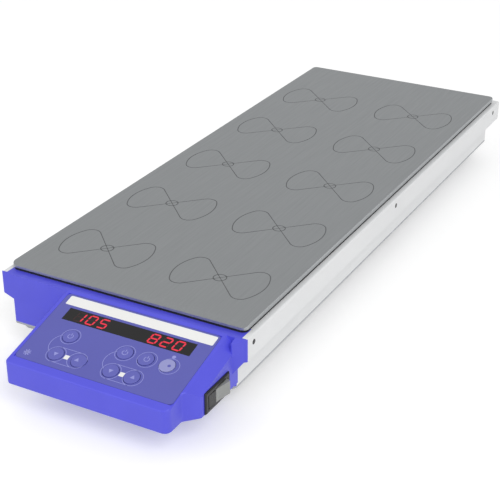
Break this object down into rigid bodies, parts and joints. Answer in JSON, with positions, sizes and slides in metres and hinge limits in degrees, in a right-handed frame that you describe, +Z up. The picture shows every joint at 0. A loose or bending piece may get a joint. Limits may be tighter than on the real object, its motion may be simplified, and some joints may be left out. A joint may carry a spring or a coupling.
{
  "type": "multi-position magnetic stirrer",
  "caption": "Long low magnetic stirrer: steel heating plate over magnet rotors, sloped keypad console with a display in front, rocker switch and mains inlet.",
  "frame": {"origin": "middle of the footprint, on the table under the feet", "axes": "+X right side seen from the console, +Y away from the console along the length, +Z up"},
  "size_m": [0.19, 0.552, 0.06],
  "materials": {
    "white_paint": "satin",
    "blue_plastic": "satin",
    "grey_sheet": "satin",
    "plate_steel": "brushed",
    "seal_rubber": "matte",
    "alloy": "satin",
    "heater_foil": "matte",
    "insulation": "matte",
    "screw_steel": "polished",
    "bronze": "satin",
    "copper_core": "satin",
    "circuit_board": "matte",
    "black_plastic": "matte",
    "rocker_plastic": "gloss",
    "digit_red": "gloss",
    "window_plastic": "gloss",
    "panel_film": "satin",
    "rotor_plastic": "matte",
    "magnet": "polished"
  },
  "bodies": {
    "stirrer": {"housing": "white_paint", "front_cap": "blue_plastic", "console_cover": "blue_plastic", "base_plate": "grey_sheet", "setup_plate": "plate_steel", "plate_seal": "seal_rubber", "heat_spreader": "alloy", "heater_mat": "heater_foil", "insulation_mat": "insulation", "plate_sensor": "plate_steel", "chassis_deck": "grey_sheet", "deck_spacers": "screw_steel", "plate_posts": "screw_steel", "rotor_axles": "screw_steel", "axle_bushes": "bronze", "axle_clips": "screw_steel", "drive_belts": "seal_rubber", "motor_base": "alloy", "motor_stator": "copper_core", "power_board": "circuit_board", "power_parts": "black_plastic", "inlet_socket": "black_plastic", "switch_frame": "black_plastic", "display_board": "circuit_board", "digit_modules": "digit_red", "key_switches": "black_plastic", "display_window": "window_plastic", "membrane_panel": "panel_film", "feet": "seal_rubber", "case_screws": "screw_steel"},
    "motor": {"motor_bell": "plate_steel"},
    "stirring_rotor_1": {"rotor_1": "rotor_plastic", "rotor_magnets_1": "magnet"},
    "stirring_rotor_2": {"rotor_2": "rotor_plastic", "rotor_magnets_2": "magnet"},
    "stirring_rotor_3": {"rotor_3": "rotor_plastic", "rotor_magnets_3": "magnet"},
    "stirring_rotor_4": {"rotor_4": "rotor_plastic", "rotor_magnets_4": "magnet"},
    "stirring_rotor_5": {"rotor_5": "rotor_plastic", "rotor_magnets_5": "magnet"},
    "stirring_rotor_6": {"rotor_6": "rotor_plastic", "rotor_magnets_6": "magnet"},
    "stirring_rotor_7": {"rotor_7": "rotor_plastic", "rotor_magnets_7": "magnet"},
    "stirring_rotor_8": {"rotor_8": "rotor_plastic", "rotor_magnets_8": "magnet"},
    "stirring_rotor_9": {"rotor_9": "rotor_plastic", "rotor_magnets_9": "magnet"},
    "stirring_rotor_10": {"rotor_10": "rotor_plastic", "rotor_magnets_10": "magnet"},
    "panel_key_1": {"key_1": "panel_film"},
    "panel_key_2": {"key_2": "panel_film"},
    "panel_key_3": {"key_3": "panel_film"},
    "panel_key_4": {"key_4": "panel_film"},
    "panel_key_5": {"key_5": "panel_film"},
    "panel_key_6": {"key_6": "panel_film"},
    "panel_key_7": {"key_7": "panel_film"},
    "panel_key_8": {"key_8": "panel_film"},
    "mains_switch": {"switch_rocker": "rocker_plastic"}
  },
  "joints": [
    {"name": "motor_spin", "type": "hinge", "parent": "stirrer", "child": "motor", "pos_m": [0, 0.228, 0.03], "axis": [0, 0, 1], "continuous": true},
    {"name": "rotor_1_spin", "type": "hinge", "parent": "stirrer", "child": "stirring_rotor_1", "pos_m": [-0.045, -0.1535, 0.036], "axis": [0, 0, 1], "continuous": true},
    {"name": "rotor_2_spin", "type": "hinge", "parent": "stirrer", "child": "stirring_rotor_2", "pos_m": [-0.045, -0.0685, 0.036], "axis": [0, 0, 1], "continuous": true},
    {"name": "rotor_3_spin", "type": "hinge", "parent": "stirrer", "child": "stirring_rotor_3", "pos_m": [-0.045, 0.0165, 0.036], "axis": [0, 0, 1], "continuous": true},
    {"name": "rotor_4_spin", "type": "hinge", "parent": "stirrer", "child": "stirring_rotor_4", "pos_m": [-0.045, 0.1015, 0.036], "axis": [0, 0, 1], "continuous": true},
    {"name": "rotor_5_spin", "type": "hinge", "parent": "stirrer", "child": "stirring_rotor_5", "pos_m": [-0.045, 0.1865, 0.036], "axis": [0, 0, 1], "continuous": true},
    {"name": "rotor_6_spin", "type": "hinge", "parent": "stirrer", "child": "stirring_rotor_6", "pos_m": [0.045, -0.1535, 0.036], "axis": [0, 0, 1], "continuous": true},
    {"name": "rotor_7_spin", "type": "hinge", "parent": "stirrer", "child": "stirring_rotor_7", "pos_m": [0.045, -0.0685, 0.036], "axis": [0, 0, 1], "continuous": true},
    {"name": "rotor_8_spin", "type": "hinge", "parent": "stirrer", "child": "stirring_rotor_8", "pos_m": [0.045, 0.0165, 0.036], "axis": [0, 0, 1], "continuous": true},
    {"name": "rotor_9_spin", "type": "hinge", "parent": "stirrer", "child": "stirring_rotor_9", "pos_m": [0.045, 0.1015, 0.036], "axis": [0, 0, 1], "continuous": true},
    {"name": "rotor_10_spin", "type": "hinge", "parent": "stirrer", "child": "stirring_rotor_10", "pos_m": [0.045, 0.1865, 0.036], "axis": [0, 0, 1], "continuous": true},
    {"name": "key_1_press", "type": "slide", "parent": "stirrer", "child": "panel_key_1", "axis": [0, 0.2487, -0.9686], "range_m": [0, 0.0004], "stiffness_N_per_m": 3000, "springref_m": -0.0002},
    {"name": "key_2_press", "type": "slide", "parent": "stirrer", "child": "panel_key_2", "axis": [0, 0.2487, -0.9686], "range_m": [0, 0.0004], "stiffness_N_per_m": 3000, "springref_m": -0.0002},
    {"name": "key_3_press", "type": "slide", "parent": "stirrer", "child": "panel_key_3", "axis": [0, 0.2487, -0.9686], "range_m": [0, 0.0004], "stiffness_N_per_m": 3000, "springref_m": -0.0002},
    {"name": "key_4_press", "type": "slide", "parent": "stirrer", "child": "panel_key_4", "axis": [0, 0.2487, -0.9686], "range_m": [0, 0.0004], "stiffness_N_per_m": 3000, "springref_m": -0.0002},
    {"name": "key_5_press", "type": "slide", "parent": "stirrer", "child": "panel_key_5", "axis": [0, 0.2487, -0.9686], "range_m": [0, 0.0004], "stiffness_N_per_m": 3000, "springref_m": -0.0002},
    {"name": "key_6_press", "type": "slide", "parent": "stirrer", "child": "panel_key_6", "axis": [0, 0.2487, -0.9686], "range_m": [0, 0.0004], "stiffness_N_per_m": 3000, "springref_m": -0.0002},
    {"name": "key_7_press", "type": "slide", "parent": "stirrer", "child": "panel_key_7", "axis": [0, 0.2487, -0.9686], "range_m": [0, 0.0004], "stiffness_N_per_m": 3000, "springref_m": -0.0002},
    {"name": "key_8_press", "type": "slide", "parent": "stirrer", "child": "panel_key_8", "axis": [0, 0.2487, -0.9686], "range_m": [0, 0.0004], "stiffness_N_per_m": 3000, "springref_m": -0.0002},
    {"name": "switch_rock", "type": "hinge", "parent": "stirrer", "child": "mains_switch", "pos_m": [0.0859, -0.2335, 0.0293], "axis": [0, 0, 1], "range_deg": [0, 16]}
  ],
  "couplings": [
    {"joint": "rotor_1_spin", "follows": "motor_spin", "ratio": 1.125},
    {"joint": "rotor_2_spin", "follows": "motor_spin", "ratio": 1.125},
    {"joint": "rotor_3_spin", "follows": "motor_spin", "ratio": 1.125},
    {"joint": "rotor_4_spin", "follows": "motor_spin", "ratio": 1.125},
    {"joint": "rotor_5_spin", "follows": "motor_spin", "ratio": 1.125},
    {"joint": "rotor_6_spin", "follows": "motor_spin", "ratio": 1.125},
    {"joint": "rotor_7_spin", "follows": "motor_spin", "ratio": 1.125},
    {"joint": "rotor_8_spin", "follows": "motor_spin", "ratio": 1.125},
    {"joint": "rotor_9_spin", "follows": "motor_spin", "ratio": 1.125},
    {"joint": "rotor_10_spin", "follows": "motor_spin", "ratio": 1.125}
  ]
}
